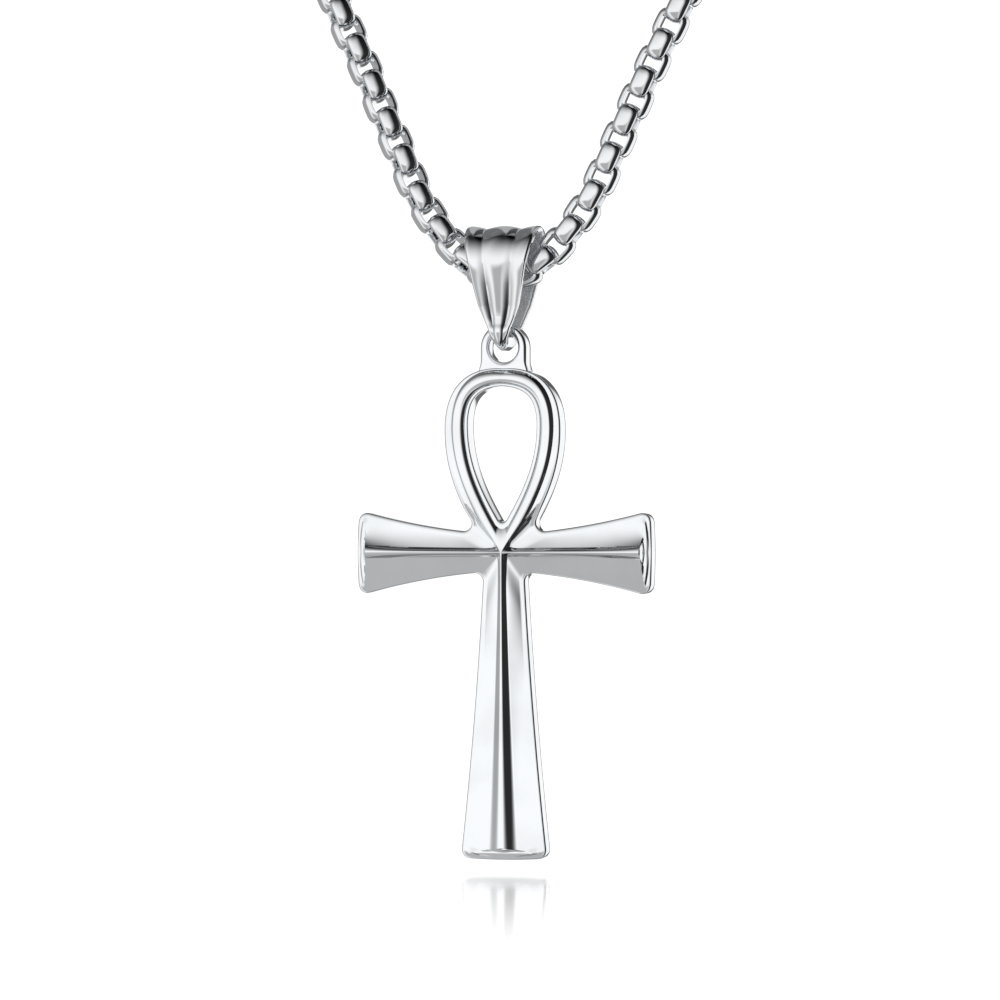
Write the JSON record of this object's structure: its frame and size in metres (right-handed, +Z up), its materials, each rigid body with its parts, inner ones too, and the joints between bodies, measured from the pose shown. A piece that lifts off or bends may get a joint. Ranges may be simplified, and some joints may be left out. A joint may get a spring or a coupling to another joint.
{
  "type": "ankh pendant on chain",
  "caption": "Ankh pendant of polished steel with a ribbed front, on a fluted bail and a round link chain with a barrel clasp.",
  "frame": {"origin": "middle of the clasp, where the chain lies on the nape of the neck", "axes": "+Z up, the wearer faces -Y, +X towards the wearer's left; the pendant faces -Y"},
  "size_m": [0.1312, 0.1255, 0.2375],
  "materials": {
    "bright_steel": "mirror polished stainless steel",
    "cast_steel": "polished stainless steel, a little darker",
    "link_steel": "polished stainless steel links"
  },
  "bodies": {
    "neck_chain": {"chain": "link_steel", "clasp": "bright_steel"},
    "bail": {"bail": "cast_steel"},
    "ankh": {"ankh": "bright_steel"}
  },
  "joints": [
    {"name": "bail_swing", "type": "hinge", "parent": "neck_chain", "child": "bail", "pos_m": [0, -0.12, -0.1839], "axis": [1, 0, 0], "range_deg": [-30, 30]},
    {"name": "ankh_swing", "type": "hinge", "parent": "bail", "child": "ankh", "pos_m": [0, -0.12, -0.19093], "axis": [0, 1, 0], "range_deg": [-60, 60]}
  ]
}
